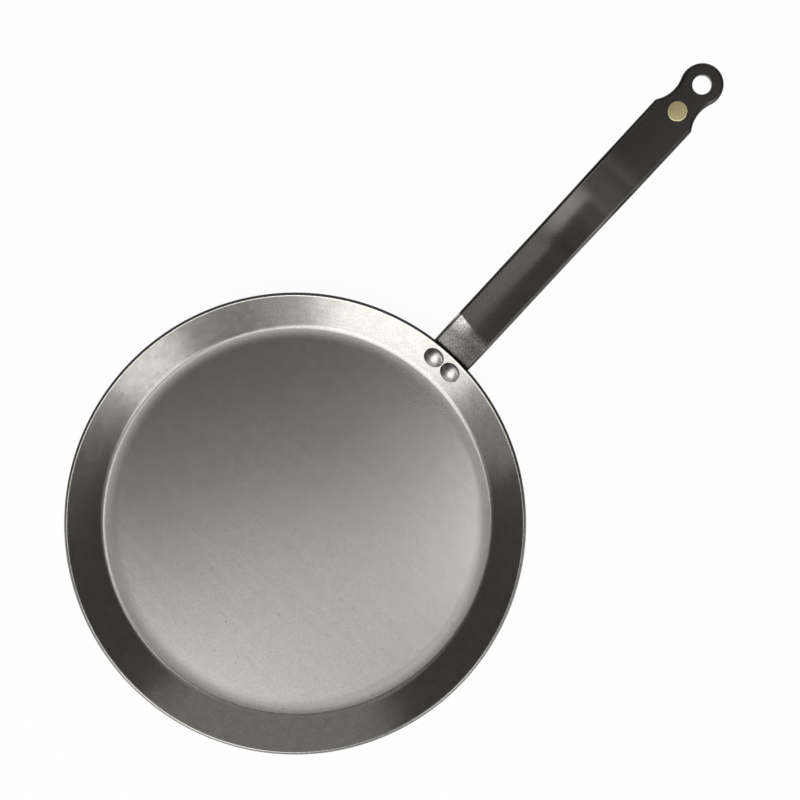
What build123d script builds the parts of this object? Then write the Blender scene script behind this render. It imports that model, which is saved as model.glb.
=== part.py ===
"""Crepe pan: a pressed steel pan with a riveted flat strip handle.

Millimetres, +Z up. The origin is the centre of the base's underside.
The handle runs along +X.
"""
import os
from math import asin, cos, degrees, radians, sin, sqrt, tan

from build123d import *

# The pan
rim_diameter = 260.0  # over the wall's outer edge
pan_height = 18.0  # underside to the rim's highest edge
sheet = 2.5  # thickness of base and wall
wall_slope = 42.0  # degrees between wall and base
corner_radius = 5.0  # inside, where the wall begins
turn_up_slope = 6.0  # degrees, of the base's edge, which folds up a little before the corner
turn_up_radius = 54.0  # inside, of its fold
turn_up_straight = 0.1134  # between that fold and the corner
rim_inner_round = 0.8
rim_outer_round = 0.3

# The handle strip
strip_width = 25.8
strip_thickness = 4.5
strip_edge_round = 1.8  # on all its long edges
flange_length = 16.6  # along the wall, from the rim to the flange's lower end
flange_end_round = 5.0  # corners of the flange's lower end
flange_sink = 0.25  # how far the flange is coined to fit the round wall
grip_slope = 4.0  # degrees, of the stretch next to the pan
rise_slope = 35.0  # degrees, of the short steep stretch
end_slope = 8.0  # degrees, of the stretch with the eye
grip_start = 7.8  # rim to the first corner of the strip's line, level
grip_end = 92.0  # rim to the second corner
rise_end = 124.5  # rim to the third corner
handle_reach = 203.3  # rim to the tip
flange_bend = 30.0  # radii of the three bends, at mid-thickness
rise_bend = 70.0
end_bend = 60.0

# The hanging eye
eye_diameter = 22.8
hole_diameter = 10.2
hole_edge_round = 0.4
neck_width = 18.5  # between the eye and the strip's shoulders
scallop_radius = 17.0
shoulder_round = 2.2

# The badge and its pocket
badge_diameter = 10.6
badge_thickness = 1.4  # at its edge
badge_crown = 0.3  # how much higher its middle is
badge_edge_round = 0.3
badge_from_eye = 18.6  # centre to centre
badge_clearance = 0.25  # round its edge
pocket_depth = 1.2

# The rivets
rivet_spacing = 12.35
rivet_from_rim = 8.9  # along the wall, from the rim's highest edge
head_diameter = 11.8
head_edge_height = 0.9
head_crown = 2.2  # how much higher the head's middle is than its edge
head_edge_round = 0.6
shank_diameter = 6.0
shank_clearance = 0.1  # round the shank
tail_diameter = 9.6
tail_height = 1.8
tail_round = 1.0

# Fits and cuts
seat_clearance = 0.05
overrun = 5.0  # how far a cutting shape reaches past what it cuts

# Side view points and directions are (distance from the pan's axis, height)
slope = radians(wall_slope)
along_wall = Vector(cos(slope), sin(slope))
off_wall = Vector(-sin(slope), cos(slope))  # square to the wall, into the pan


def in_space(point):
    """A side view point, or a direction, as one in space."""
    return Vector(point.X, 0, point.Y)


def height_on_line(line_point, line_slope, distance):
    """Height of a sloping line at a distance from the pan's axis."""
    return line_point.Y + (distance - line_point.X) * tan(radians(line_slope))


def off_line(line_slope):
    """Direction square to a sloping line, on its upper side."""
    return Vector(-sin(radians(line_slope)), cos(radians(line_slope)))


def fold_shift(before, after, lift):
    """How a fold between two slopes moves when both lines move square to themselves by lift."""
    return off_line((before + after) / 2) * (lift / cos(radians(after - before) / 2))


def crown_radius(half_width, rise):
    """Radius of a crown of that half width and rise."""
    return (half_width**2 + rise**2) / (2 * rise)


# The rim's cut edge stands square to the wall
rim_outer = rim_diameter / 2
rim_inner = Vector(rim_outer - sheet * sin(slope), pan_height)
rim_lower = rim_inner - off_wall * sheet

# The base's edge turns up a little, then folds into the wall at the corner
turn_up_reach = turn_up_radius * tan(radians(turn_up_slope) / 2)
corner_reach = corner_radius * tan(radians(wall_slope - turn_up_slope) / 2)
turn_up_length = turn_up_reach + turn_up_straight + corner_reach
along_turn_up = Vector(cos(radians(turn_up_slope)), sin(radians(turn_up_slope)))
corner_height = sheet + turn_up_length * along_turn_up.Y
corner_fold = rim_inner - along_wall * ((pan_height - corner_height) / along_wall.Y)
turn_up_fold = corner_fold - along_turn_up * turn_up_length


def sheet_face_line(lift):
    """Half section of the sheet's inside face, moved square to itself by lift."""
    middle = Vector(0, sheet + lift)
    turn_up = turn_up_fold + fold_shift(0, turn_up_slope, lift)
    corner = corner_fold + fold_shift(turn_up_slope, wall_slope, lift)
    rim = rim_inner + off_wall * lift
    return FilletPolyline(middle, turn_up, corner, rim, radius=[turn_up_radius - lift, corner_radius - lift])


def sheet_section(growth):
    """Half section of the pan's sheet, thicker by growth on both sides."""
    with BuildSketch(Plane.XZ) as section:
        with BuildLine():
            inner = sheet_face_line(growth)
            outer = sheet_face_line(-sheet - growth)
            Line(inner @ 1, outer @ 1)
            Line(outer @ 0, inner @ 0)
        make_face()
    return section.sketch


# Each rivet stands square to the wall at its own place round the pan
rivet_seat = rim_inner - along_wall * rivet_from_rim
rivet_turn = degrees(asin(rivet_spacing / 2 / rivet_seat.X))


def rivet_plane(turn):
    """Plane on the wall's inside face at a rivet, square to the rivet."""
    origin = in_space(rivet_seat).rotate(Axis.Z, turn)
    across = Vector(0, 1, 0).rotate(Axis.Z, turn)
    outward = in_space(off_wall).rotate(Axis.Z, turn)
    return Plane(origin=origin, x_dir=across, z_dir=outward)


def cut_shank_holes():
    """Both rivets' holes, long enough for the wall and the strip."""
    with BuildPart(mode=Mode.PRIVATE) as holes:
        for turn in (rivet_turn, -rivet_turn):
            with BuildSketch(rivet_plane(turn)):
                Circle(shank_diameter / 2 + shank_clearance)
            extrude(amount=sheet + strip_thickness + overrun, both=True)
    return holes.part


shank_holes = cut_shank_holes()

# The pan body
with BuildPart() as pan_body:
    revolve(sheet_section(0), axis=Axis.Z)
    rim_edges = pan_body.edges().filter_by(GeomType.CIRCLE).sort_by(Axis.Z)
    fillet(rim_edges[-1], radius=rim_inner_round)
    rim_edges = pan_body.edges().filter_by(GeomType.CIRCLE).sort_by(lambda edge: edge.radius)
    fillet(rim_edges[-1], radius=rim_outer_round)
    add(shank_holes, mode=Mode.SUBTRACT)
pan_body.part.label = "pan_body"

# The space that the pan's sheet takes, with the clearance of what seats on it
with BuildPart() as seat_space:
    revolve(sheet_section(seat_clearance), axis=Axis.Z)

# The strip's line at mid-thickness: flange, grip, rise and end
half_thickness = strip_thickness / 2
flange_depth = sheet - flange_sink + half_thickness
flange_top = rim_inner - off_wall * flange_depth
flange_foot = flange_top - along_wall * flange_length
corner_one_x = rim_outer + grip_start
corner_one = Vector(corner_one_x, height_on_line(flange_top, wall_slope, corner_one_x))
corner_two_x = rim_outer + grip_end
corner_two = Vector(corner_two_x, height_on_line(corner_one, grip_slope, corner_two_x))
corner_three_x = rim_outer + rise_end
corner_three = Vector(corner_three_x, height_on_line(corner_two, rise_slope, corner_three_x))
tip_x = rim_outer + handle_reach
tip = Vector(tip_x, height_on_line(corner_three, end_slope, tip_x))
strip_slopes = (wall_slope, grip_slope, rise_slope, end_slope)
strip_corners = (corner_one, corner_two, corner_three)
strip_bends = (flange_bend, rise_bend, end_bend)

# The end stretch, and its places at mid-thickness
end_tilt = radians(end_slope)
along_end = Vector(cos(end_tilt), sin(end_tilt))
off_end = Vector(-sin(end_tilt), cos(end_tilt))
eye_radius = eye_diameter / 2
eye_centre = tip - along_end * eye_radius
badge_centre = eye_centre - along_end * badge_from_eye
strip_end = tip + along_end * overrun


def strip_face_line(lift):
    """Side view of the strip's line moved square to itself by lift."""
    points = [flange_foot + off_wall * lift]
    radii = []
    for index, corner in enumerate(strip_corners):
        before, after = strip_slopes[index], strip_slopes[index + 1]
        points.append(corner + fold_shift(before, after, lift))
        hollow = 1 if after > before else -1
        radii.append(strip_bends[index] - hollow * lift)
    points.append(strip_end + off_end * lift)
    return FilletPolyline(*points, radius=radii)


def end_plane(centre, lift):
    """Plane of the end stretch at a centre, lifted off its mid-thickness."""
    origin = in_space(centre + off_end * lift)
    return Plane(origin=origin, x_dir=in_space(along_end), z_dir=in_space(off_end))


# The scallops touch the eye's circle and meet the strip's edges at its shoulders
half_width = strip_width / 2
scallop_across = neck_width / 2 + scallop_radius
scallop_back = sqrt((scallop_radius + eye_radius) ** 2 - scallop_across**2)
touch_share = eye_radius / (scallop_radius + eye_radius)
touch_back = scallop_back * touch_share
shoulder_back = scallop_back + sqrt(scallop_radius**2 - (scallop_across - half_width) ** 2)
waste_reach = eye_radius + overrun

with BuildSketch(end_plane(eye_centre, 0)) as end_waste:
    with Locations(((waste_reach - shoulder_back) / 2, 0)):
        Rectangle(shoulder_back + waste_reach, strip_width + 2 * overrun)
    with Locations((-(shoulder_back + touch_back) / 2, 0)):
        Rectangle(shoulder_back - touch_back, strip_width, mode=Mode.SUBTRACT)
    Circle(eye_radius, mode=Mode.SUBTRACT)
    with Locations((-scallop_back, scallop_across), (-scallop_back, -scallop_across)):
        Circle(scallop_radius)

with BuildSketch(Plane.XZ) as strip_section:
    with BuildLine():
        upper = strip_face_line(half_thickness)
        lower = strip_face_line(-half_thickness)
        Line(upper @ 0, lower @ 0)
        Line(upper @ 1, lower @ 1)
    make_face()


def is_face_edge(edge):
    """True for an edge round the strip's upper or lower face, foot and eye included."""
    middle = edge.position_at(1 / 2)
    side_view = Vector(middle.X, middle.Z)
    off_face = min(upper.distance_to(side_view), lower.distance_to(side_view))
    at_foot = (side_view - flange_foot).length < strip_thickness
    goes_round = at_foot or edge.geom_type != GeomType.LINE or abs(middle.Y) > seat_clearance
    return off_face < seat_clearance and goes_round


# The handle
with BuildPart() as handle:
    extrude(strip_section.sketch, amount=half_width, both=True)
    extrude(end_waste.sketch, amount=overrun, both=True, mode=Mode.SUBTRACT)
    foot_corners = handle.edges().filter_by(Axis(in_space(flange_foot), in_space(off_wall)))
    fillet(foot_corners, radius=flange_end_round)
    shoulders = handle.edges().filter_by(Axis(in_space(tip), in_space(off_end))).sort_by(Axis.X)
    fillet(shoulders[:2], radius=shoulder_round)
    fillet(handle.edges().filter_by(is_face_edge), radius=strip_edge_round)
    with BuildSketch(end_plane(eye_centre, 0)):
        Circle(hole_diameter / 2)
    extrude(amount=overrun, both=True, mode=Mode.SUBTRACT)
    hole_rims = handle.edges().filter_by(GeomType.CIRCLE)
    hole_rims = hole_rims.filter_by(lambda edge: abs(edge.radius - hole_diameter / 2) < seat_clearance)
    fillet(hole_rims, radius=hole_edge_round)
    with BuildSketch(end_plane(badge_centre, half_thickness - pocket_depth)):
        Circle(badge_diameter / 2 + badge_clearance)
    extrude(amount=overrun, mode=Mode.SUBTRACT)
    add(shank_holes, mode=Mode.SUBTRACT)
    add(seat_space.part, mode=Mode.SUBTRACT)
handle.part.label = "handle"


def crowned_disc(seat, diameter, edge_height, crown, edge_round):
    """A disc standing on a plane, its upper side crowned and its edge rounded."""
    section = Plane(origin=seat.origin, x_dir=seat.x_dir, z_dir=seat.x_dir.cross(seat.z_dir))
    radius = diameter / 2
    top = (0, edge_height + crown)
    edge_top = (radius, edge_height)
    with BuildPart() as disc:
        with BuildSketch(section) as profile:
            with BuildLine():
                Polyline(top, (0, 0), (radius, 0), edge_top)
                RadiusArc(edge_top, top, -crown_radius(radius, crown))
            make_face()
            outer_corners = profile.vertices().group_by(Axis.X)[-1]
            fillet(outer_corners.sort_by(Axis.Y)[-1], radius=edge_round)
        revolve(axis=Axis(seat.origin, seat.z_dir))
    return disc.part


# The rivets: a crowned head on the wall's inside, a hammered tail under the strip
strip_back = rivet_seat - off_wall * (flange_depth + half_thickness + seat_clearance)
back_plane = Plane(origin=in_space(strip_back), z_dir=in_space(off_wall))
tail_end = flange_depth + half_thickness + tail_height


def make_rivet(turn):
    """One rivet, standing square to the wall at its turn round the pan."""
    seat = rivet_plane(turn)
    tail_seat = seat.offset(-tail_end)
    with BuildPart() as rivet:
        with BuildSketch(tail_seat):
            Circle(tail_diameter / 2)
        extrude(amount=tail_end)
        split(bisect_by=back_plane, keep=Keep.BOTTOM)
        tail_edges = rivet.edges().filter_by(GeomType.CIRCLE).sort_by(Axis(seat.origin, seat.z_dir))
        fillet(tail_edges[0], radius=tail_round)
        add(crowned_disc(seat, head_diameter, head_edge_height, head_crown, head_edge_round))
        add(seat_space.part, mode=Mode.SUBTRACT)
        with BuildSketch(tail_seat):
            Circle(shank_diameter / 2)
        extrude(amount=tail_end + head_edge_height)
    return rivet


rivet_left = make_rivet(rivet_turn)
rivet_left.part.label = "rivet_left"
rivet_right = make_rivet(-rivet_turn)
rivet_right.part.label = "rivet_right"

# The badge, on the floor of its pocket
badge_seat = end_plane(badge_centre, half_thickness - pocket_depth)
with BuildPart() as badge:
    add(crowned_disc(badge_seat, badge_diameter, badge_thickness, badge_crown, badge_edge_round))
badge.part.label = "badge"

os.makedirs("parts", exist_ok=True)
export_step(pan_body.part, "parts/pan_body.step")
export_step(handle.part, "parts/handle.step")
export_step(rivet_left.part, "parts/rivet_left.step")
export_step(rivet_right.part, "parts/rivet_right.step")
export_step(badge.part, "parts/badge.step")
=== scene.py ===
"""Crepe pan on a white floor under soft studio lamps.

Metres, in the frame of the CAD model: the pan stands on Z = 0 round the Z axis, its handle runs along +X,
and left, as seen along the handle, is +Y.
"""
from math import cos, pi, radians, sin, tan

import bpy
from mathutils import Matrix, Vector


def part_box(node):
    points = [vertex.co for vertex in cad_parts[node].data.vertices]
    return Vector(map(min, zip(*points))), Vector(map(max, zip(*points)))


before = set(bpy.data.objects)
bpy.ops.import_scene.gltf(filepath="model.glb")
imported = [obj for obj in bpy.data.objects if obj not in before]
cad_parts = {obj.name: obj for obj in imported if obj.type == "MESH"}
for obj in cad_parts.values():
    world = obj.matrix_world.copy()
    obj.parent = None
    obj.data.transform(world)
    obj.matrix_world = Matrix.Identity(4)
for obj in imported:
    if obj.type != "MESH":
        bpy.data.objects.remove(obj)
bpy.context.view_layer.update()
scene = bpy.context.scene
bpy.ops.object.select_all(action="DESELECT")

# The section that the pan's upper face is shaded by: distances from its axis, radii, and slopes in degrees
turn_up_start = 0.10427
turn_up_radius = 0.054
turn_up_slope = 6
corner_centre = 0.1096
corner_radius = 0.005
wall_slope = 42
section_face = (0.1040, 0.1265)  # the stretch that it shades

# Stretches of the pan, as distances from its axis
turn_up_painted_shade = (0.1045, 0.1085)
corner_painted_highlight = (0.1098, 0.1104)
wall_begins = (0.1100, 0.1140)
swells_grow = (0.1140, 0.1240)
arris_wear_and_highlight = (0.1279, 0.1283)
cut_edge_begins = (0.1284, 0.1287)

# Stretches of the handle, as distances from the pan's axis
root_highlight_grows = (0.1390, 0.1480)
rim_is_left = (0.1395, 0.1435)
hollow_begins = (0.1415, 0.1500)
root_ends = (0.1468, 0.1478)
hollow_sharpens = (0.1500, 0.2150)
hollow_moves_left = (0.2000, 0.2250)
upper_grip_begins = (0.2060, 0.2170)
end_darkens = (0.2320, 0.2440)
hollow_ends = (0.2360, 0.2490)
bend_painted_shade = (0.2460, 0.2560)
shoulders = (0.3000, 0.3020)
eye_centre = 0.3220
outer_eye = (0.3220, 0.3280)

# Stretches across the handle, as distances to the left of its middle line
left_half = (0, 0.0010)
root_highlight_half = (-0.0010, 0.0090)
root_across = (-0.0080, 0.0100)
hollow_shift = 0.0018
upper_grip_line = 0.0035
edge_highlight = (0.0111, 0.0116)

eye_highlight = (0.0100, 0.0104)  # from the eye's centre
badge_rim = (0.0046, 0.0050)  # from the badge's centre

floor_size = 60
floor_gap = 0.0002  # under the pan
floor_glow = 0.95  # share of its white that is its own light, the rest shows the pan's shadow
lamp_distance = 4.0
lamp_target = Vector((0.04, 0, 0))
room_light = 0.112

# The camera looks straight down, from over the handle's side of the pan
camera_place = (0.09097, 0.00394, 0.758)
camera_turn = -47.2  # degrees, which points the handle to the upper right
camera_lens = 59.39  # millimetres


class Value:
    """A number socket that sums and products can be written with."""

    def __init__(self, finish, socket):
        self.finish = finish
        self.socket = socket

    def work(self, operation, *others):
        """What a Math node makes of this number and the others."""
        return self.finish.node("ShaderNodeMath", {"operation": operation}, [self, *others])

    def __add__(self, other):
        return self.work("ADD", other)

    def __sub__(self, other):
        return self.work("SUBTRACT", other)

    def __mul__(self, other):
        return self.work("MULTIPLY", other)

    def __truediv__(self, other):
        return self.work("DIVIDE", other)

    def __pow__(self, other):
        return self.work("POWER", other)

    def __radd__(self, other):
        return self.work("ADD", other)

    def __rsub__(self, other):
        return self.work("MULTIPLY", -1).work("ADD", other)

    def __rmul__(self, other):
        return self.work("MULTIPLY", other)

    def __abs__(self):
        return self.work("ABSOLUTE")


class Finish:
    """A material built round one Principled shader."""

    # A Mix node has sockets of its own for each kind of value: the first of its two inputs, and its output
    mix_sockets = {"VECTOR": (4, 1), "RGBA": (6, 2)}

    def __init__(self, name, **constants):
        self.material = bpy.data.materials.new(name)
        self.material.use_nodes = True
        self.tree = self.material.node_tree
        self.shader = self.tree.nodes["Principled BSDF"]
        self.dress(**constants)

    def node(self, kind, settings, inputs, output=0):
        """Adds a node, makes its settings, then fills its sockets with values or links."""
        made = self.tree.nodes.new(kind)
        for key, value in settings.items():
            setattr(made, key, value)
        pairs = inputs.items() if isinstance(inputs, dict) else enumerate(inputs)
        for key, value in pairs:
            self.fill(made.inputs[key], value)
        return Value(self, made.outputs[output])

    def fill(self, socket, value):
        """Links a value to a socket, or sets the socket to a plain number or colour."""
        if isinstance(value, Value):
            self.tree.links.new(value.socket, socket)
        else:
            socket.default_value = value

    def dress(self, **looks):
        """Fills the shader's sockets, such as base_color, with values or links."""
        for socket, value in looks.items():
            self.fill(self.shader.inputs[socket.replace("_", " ").title()], value)
        return self.material

    def place(self):
        """Where a point of the piece lies, in metres."""
        return self.node("ShaderNodeTexCoord", {}, {}, output="Object")

    def axes(self):
        """The three numbers of that place."""
        place = self.place()
        return [self.node("ShaderNodeSeparateXYZ", {}, [place], output=i) for i in range(3)]

    def vector(self, x, y, z):
        return self.node("ShaderNodeCombineXYZ", {}, [x, y, z])

    def mesh_normal(self):
        """Normal of the mesh, and a mask that is 1 where the mesh looks up and 0 where it looks down."""
        normal = self.node("ShaderNodeNewGeometry", {}, {}, output="Normal")
        rise = self.node("ShaderNodeSeparateXYZ", {}, [normal], output=2)
        return normal, self.step(rise, 0.2, 0.4)

    def noise(self, size, detail=2.0, roughness=0.5, stretch=(1, 1, 1), place=None):
        """Noise with spots of about that size, in metres, drawn out where stretch is under 1."""
        if place is None:
            place = self.place()
        spot = self.node("ShaderNodeVectorMath", {"operation": "MULTIPLY"}, [place, stretch])
        inputs = {"Vector": spot, "Scale": 1 / size, "Detail": detail, "Roughness": roughness}
        return self.node("ShaderNodeTexNoise", {}, inputs)

    def dots(self, spacing, radius):
        """1 on small dots strewn over the level faces, 0 between them."""
        settings = {"voronoi_dimensions": "2D", "feature": "F1"}
        inputs = {"Vector": self.place(), "Scale": 1 / spacing}
        off_centre = self.node("ShaderNodeTexVoronoi", settings, inputs, output="Distance")
        edge = radius / spacing
        return 1 - self.step(off_centre, edge / 2, edge)

    def step(self, value, low, high):
        """0 below low and 1 above high, smooth between."""
        settings = {"interpolation_type": "SMOOTHSTEP"}
        inputs = {"Value": value, "From Min": low, "From Max": high}
        return self.node("ShaderNodeMapRange", settings, inputs)

    def band(self, value, low, high, fade):
        """1 between low and high, 0 outside them."""
        return self.step(value, low - fade, low) * (1 - self.step(value, high, high + fade))

    def side(self, offset, softness):
        """-1 on one side of a line and 1 on the other, by the offset from it, smooth over the softness."""
        return offset / (offset * offset + softness * softness) ** 0.5

    def facing(self, x, y, azimuth):
        """1 where a point lies that way from the pan's axis, -1 on the side across from it."""
        turn = radians(azimuth)
        return (x * cos(turn) + y * sin(turn)) / (x * x + y * y) ** 0.5

    def shade(self, colour, level):
        """A colour made lighter or darker."""
        return self.node("ShaderNodeVectorMath", {"operation": "SCALE"}, {0: colour, "Scale": level})

    def mix(self, kind, factor, first, second):
        """What lies between two values of a kind: the first at factor 0, the second at 1."""
        socket, output = self.mix_sockets[kind]
        inputs = {0: factor, socket: first, socket + 1: second}
        return self.node("ShaderNodeMix", {"data_type": kind}, inputs, output)

    def tint(self, factor, first, second):
        """Colour between two colours."""
        return self.mix("RGBA", factor, first, second)

    def relief(self, height, face=None):
        """Normal of a surface whose height, in metres, varies over a face."""
        inputs = {"Height": height, "Distance": 1.0, "Strength": 1.0}
        if face is not None:
            inputs["Normal"] = face
        return self.node("ShaderNodeBump", {}, inputs, output="Normal")


def grey(level, warmth=0.0):
    """A grey with a little warmth."""
    return (level * (1 + 0.8 * warmth), level, level * (1 - 1.2 * warmth), 1)


def section_normal(steel, x, y, from_axis):
    """Normal of the pan's upper face, worked out from its section, where the mesh's own is uneven."""
    steepest_turn_up = sin(radians(turn_up_slope))
    steepest_wall = sin(radians(wall_slope))
    turn_up = ((from_axis - turn_up_start) / turn_up_radius).work("MINIMUM", steepest_turn_up)
    corner = ((from_axis - corner_centre) / corner_radius).work("MINIMUM", steepest_wall)
    lean = turn_up.work("MAXIMUM", corner).work("MAXIMUM", 0)
    inward = lean / from_axis * -1
    smooth = steel.vector(x * inward, y * inward, (1 - lean * lean) ** 0.5)
    mesh, looks_up = steel.mesh_normal()
    here = looks_up * steel.band(from_axis, *section_face, fade=0.0005)
    return steel.mix("VECTOR", here, mesh, smooth)


def pan_steel():
    """Bare carbon steel: fine grain, cloudy patches and small pits, with painted shade on the turn-up and
    the cut edge, and painted highlights on the corner and on the rim's rubbed arris.
    """
    steel = Finish("pan_steel", metallic=1.0)
    x, y, _ = steel.axes()
    from_axis = (x * x + y * y) ** 0.5

    # Parts of the pan, each 1 there and 0 elsewhere
    wall = steel.step(from_axis, *wall_begins)
    cut_edge = steel.step(from_axis, *cut_edge_begins)
    handle_side = steel.step(steel.facing(x, y, azimuth=43), -0.05, 0.25)
    # The side of the pan where the arris gets its painted highlight
    arris_highlight_side = steel.step(steel.facing(x, y, azimuth=58), 0.0, 0.6)
    left_side = steel.step(steel.facing(x, y, azimuth=120), 0.4, 0.9)
    # Painted shade: a ring on the turn-up of the base is darkened, away from the handle's side
    turn_up = steel.band(from_axis, *turn_up_painted_shade, fade=0.003) * (1 - handle_side)
    # Painted highlight: a thin bright ring on the corner, on the left side only
    corner = steel.band(from_axis, *corner_painted_highlight, fade=0.0004) * left_side
    # Rubbed arris with a painted highlight, lightened only on the side that faces the lamps
    arris = steel.band(from_axis, *arris_wear_and_highlight, fade=0.0002) * arris_highlight_side

    # Patterns in the steel: its lines run along Y on the base, and round the pan on the wall
    cloud = steel.noise(size=0.05, detail=3.0)
    patch = steel.noise(size=0.005, detail=3.0, roughness=0.6)
    grain = steel.noise(size=0.0007, roughness=0.6)
    waves = steel.noise(size=0.03, detail=1.0)
    rolling = steel.noise(size=0.0016, stretch=(1, 0.04, 1))
    per_radian = 0.02  # metres of pattern, which draws it out round the pan
    round_pan = steel.vector(x / from_axis * per_radian, y / from_axis * per_radian, from_axis)
    spinning = steel.noise(size=0.0013, place=round_pan)
    lines = rolling * (1 - wall) + spinning * wall
    pits = steel.dots(spacing=0.026, radius=0.00045) * (1 - wall)
    speckle = grain * 0.7 + patch * 0.15 + lines * 0.15

    level = 0.275
    clean = steel.tint(cloud, grey(level, 0.02), grey(level, 0.045))
    warm = steel.tint(cloud, grey(level, 0.04), grey(level, 0.065))
    colour = steel.tint(steel.step(patch, 0.3, 0.7) * 0.6 + wall * 0.4, clean, warm)
    flecks = (steel.step(speckle, 0.3, 0.7) - 0.5) * (0.17 + wall * 0.17)
    blotches = (patch - 0.5) * wall * 0.16
    colour = steel.shade(colour, 1 + flecks)
    # Flecks and blotches vary the tone and pits darken; the turn-up gets painted shade, the corner and the
    # arris painted highlights
    colour = steel.shade(colour, 1 + blotches - turn_up * 0.12 - pits * 0.5 + corner * 0.2 + arris * 0.8)
    # Painted shade: the cut edge is painted near black, and dark grey on the handle's side
    colour = steel.tint(cut_edge, colour, steel.tint(handle_side, grey(0.2, 0.02), grey(0.04)))

    grain_height, line_height, pit_depth, swell_height = 0.000008, 0.000005, 0.00003, 0.0006
    swells = (waves - 0.5) * steel.step(from_axis, *swells_grow)
    height = grain * grain_height + lines * line_height - pits * pit_depth + swells * swell_height
    return steel.dress(
        base_color=colour,
        roughness=0.205 + cloud * 0.03 + speckle * 0.05,
        normal=steel.relief(height, face=section_normal(steel, x, y, from_axis)),
    )


def grip_normal(coat, x, y):
    """Normal of the handle's upper face, with a grip that is pressed a little hollow.

    On the lower grip both sides rise from a line along the middle, which moves a little to the left. On the
    upper grip only the right side rises, from a line further left.
    """
    softest, sharpest, upper_softness = 0.0042, 0.0014, 0.003
    lower_slope, upper_slope = 0.055, 0.095
    middle = coat.step(x, *hollow_moves_left) * hollow_shift
    softness = softest - coat.step(x, *hollow_sharpens) * (softest - sharpest)
    lower_lean = coat.side(y - middle, softness) * lower_slope
    upper_lean = (coat.side(y - upper_grip_line, upper_softness) - 1) * upper_slope
    hollow = coat.step(x, *hollow_begins) * (1 - coat.step(x, *hollow_ends))
    lean = (lower_lean + (upper_lean - lower_lean) * coat.step(x, *upper_grip_begins)) * hollow
    mesh, looks_up = coat.mesh_normal()
    sideways = coat.vector(0, lean * looks_up * -1, 0)
    leaning = coat.node("ShaderNodeVectorMath", {"operation": "ADD"}, [mesh, sideways])
    return coat.node("ShaderNodeVectorMath", {"operation": "NORMALIZE"}, [leaning])


def handle_coat():
    """Dark satin coat on strip steel: a blasted root with painted highlight and shade, a hollow grip,
    painted shade in the upper bend, and painted highlight lines along the edges.
    """
    coat = Finish("handle_coat", metallic=1.0)
    x, y, _ = coat.axes()
    speck = coat.noise(size=0.0008, roughness=0.7)
    cloud = coat.noise(size=0.03)

    # The coat, which is darker on the handle's end, with painted shade in the upper bend
    end = coat.step(x, *end_darkens)
    bend = coat.band(x, *bend_painted_shade, fade=0.006)
    smooth = coat.tint(end, grey(0.068, 0.05), grey(0.042, 0.05))
    smooth = coat.shade(smooth, 0.97 + coat.step(speck, 0.2, 0.8) * 0.06 - bend * 0.5)

    # The blasted root, with a painted highlight on its left that grows away from the rim, and painted shade
    # on its right by the rim
    root = 1 - coat.step(x - y * 0.15, *root_ends)
    by_rim = 1 - coat.step(x, *rim_is_left)
    lit = coat.step(x, *root_highlight_grows) * coat.step(y, *root_highlight_half)
    blasted = coat.tint(lit, grey(0.085, 0.04), grey(0.6, 0.03))
    blasted = coat.shade(blasted, 0.6 + coat.step(speck, 0.35, 0.65) * 0.8)
    blasted = coat.shade(blasted, 1 + (coat.step(y, *root_across) * 0.8 - 0.45) * by_rim)

    # Painted highlight lines along the strip's edges, stronger on the left, and round the eye's outer right
    # side
    strength = 0.4 + coat.step(y, *left_half) * 0.4
    on_strip = 1 - coat.step(x, *shoulders)
    edge_lines = coat.band(abs(y), *edge_highlight, fade=0.0003) * strength * on_strip
    from_eye = ((x - eye_centre) ** 2 + y * y) ** 0.5
    eye_line = coat.band(from_eye, *eye_highlight, fade=0.0003) * coat.step(x - y, *outer_eye)

    colour = coat.tint(root, smooth, blasted)
    return coat.dress(
        base_color=coat.tint(edge_lines + eye_line, colour, grey(0.085, 0.05)),
        roughness=0.24 + speck * 0.04 + cloud * 0.04 + root * 0.1,
        normal=coat.relief(speck * (0.000004 + root * 0.000086), face=grip_normal(coat, x, y)),
    )


def rivet_steel():
    """Steel rivets, a little uneven from the hammer."""
    steel = Finish("rivet_steel", metallic=1.0)
    dents = steel.noise(size=0.005, detail=1.0)
    grain = steel.noise(size=0.0008)
    return steel.dress(
        base_color=steel.tint(grain, grey(0.26, 0.03), grey(0.32, 0.03)),
        roughness=0.24 + grain * 0.1,
        normal=steel.relief(dents * 0.00006 + grain * 0.000015),
    )


def badge_brass():
    """Aged brass, its rim rubbed bright."""
    brass = Finish("badge_brass", metallic=1.0)
    low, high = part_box("badge")
    centre = (low + high) / 2
    x, y, _ = brass.axes()
    from_centre = ((x - centre.x) ** 2 + y * y) ** 0.5
    rim = brass.step(from_centre, *badge_rim)
    tarnish = brass.noise(size=0.002, detail=3.0, roughness=0.6)
    dull, warm, rubbed = (0.3, 0.26, 0.13, 1), (0.42, 0.37, 0.2, 1), (0.5, 0.46, 0.28, 1)
    return brass.dress(
        base_color=brass.tint(rim, brass.tint(tarnish, dull, warm), rubbed),
        roughness=0.42 + tarnish * 0.12 - rim * 0.12,
        normal=brass.relief(tarnish * 0.00002),
    )


finishes = {
    "pan_body": pan_steel(),
    "handle": handle_coat(),
    "rivet_left": rivet_steel(),
    "badge": badge_brass(),
}
finishes["rivet_right"] = finishes["rivet_left"]
for name, finish in finishes.items():
    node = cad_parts[name]
    node.data.materials.clear()
    node.data.materials.append(finish)


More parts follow.
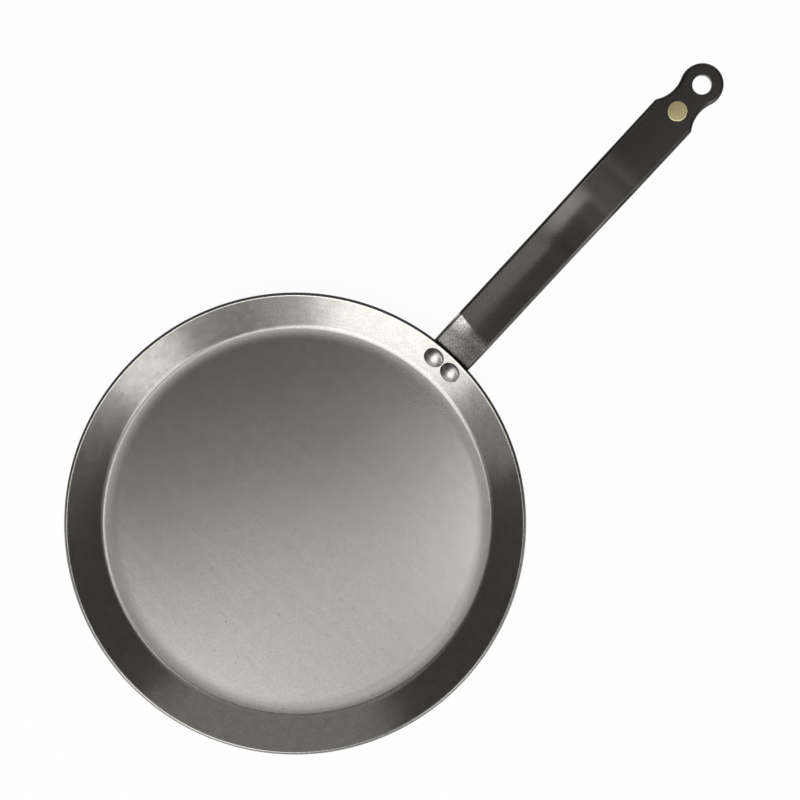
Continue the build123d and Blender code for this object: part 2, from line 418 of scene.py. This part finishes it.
def white_floor():
    """A plain white floor that keeps the pan's shadow."""
    bpy.ops.mesh.primitive_plane_add(size=floor_size, location=(0, 0, -floor_gap))
    floor = bpy.context.object
    floor.name = "floor"
    white = Finish("floor_white", base_color=grey(0.9), roughness=0.9)
    surface = Value(white, white.shader.outputs[0])
    glow = white.node("ShaderNodeEmission", {}, {})
    camera_ray, glossy_ray, transmission_ray = [
        white.node("ShaderNodeLightPath", {}, {}, output=f"Is {kind} Ray")
        for kind in ("Camera", "Glossy", "Transmission")
    ]
    seen = (camera_ray + glossy_ray + transmission_ray).work("MINIMUM", 1)
    blend = white.node("ShaderNodeMixShader", {}, [seen * floor_glow, surface, glow])
    white.fill(white.tree.nodes["Material Output"].inputs["Surface"], blend)
    floor.data.materials.append(white.material)


def softbox(name, azimuth, tilt, width, height, brightness):
    """A soft lamp that looks at the pan. All four angles are in degrees, and the tilt is from overhead."""
    turn = radians(azimuth)
    lean = radians(tilt)
    towards = Vector((sin(lean) * cos(turn), sin(lean) * sin(turn), cos(lean)))
    data = bpy.data.lights.new(name, "AREA")
    data.shape = "RECTANGLE"
    data.size = 2 * lamp_distance * tan(radians(width / 2))
    data.size_y = 2 * lamp_distance * tan(radians(height / 2))
    data.energy = brightness * pi * data.size * data.size_y
    lamp = bpy.data.objects.new(name, data)
    lamp.location = lamp_target + towards * lamp_distance
    lamp.rotation_euler = (-towards).to_track_quat("-Z", "Y").to_euler()
    lamp.visible_camera = False
    scene.collection.objects.link(lamp)


white_floor()
softbox("lamp_left", azimuth=192, tilt=61, width=39, height=58, brightness=3.1)
softbox("lamp_left_wide", azimuth=188, tilt=66, width=71, height=38, brightness=0.5)
softbox("lamp_wide", azimuth=245, tilt=45, width=77, height=78, brightness=0.31)
softbox("lamp_back", azimuth=41, tilt=51, width=68, height=78, brightness=0.39)
softbox("lamp_right_low", azimuth=273, tilt=88, width=67, height=4, brightness=8.6)
softbox("lamp_right", azimuth=258, tilt=55, width=20, height=50, brightness=2.4)
softbox("lamp_left_high", azimuth=193, tilt=24, width=38, height=16, brightness=2.45)
softbox("lamp_overhead", azimuth=223, tilt=9, width=20, height=8, brightness=1.5)
softbox("lamp_low", azimuth=213, tilt=85, width=65, height=9, brightness=0.62)
softbox("lamp_over_handle", azimuth=344, tilt=20, width=19, height=9, brightness=2.25)
softbox("lamp_small", azimuth=289, tilt=11, width=8, height=8, brightness=5.7)

world = bpy.data.worlds.new("dim_room")
scene.world = world
world.use_nodes = True
background = world.node_tree.nodes["Background"]
background.inputs["Color"].default_value = grey(1.0)
background.inputs["Strength"].default_value = room_light

camera = bpy.data.objects.new("camera", bpy.data.cameras.new("camera"))
camera.data.lens = camera_lens
camera.location = camera_place
camera.rotation_euler = (0, 0, radians(camera_turn))
scene.collection.objects.link(camera)
scene.camera = camera

scene.view_settings.view_transform = "Standard"
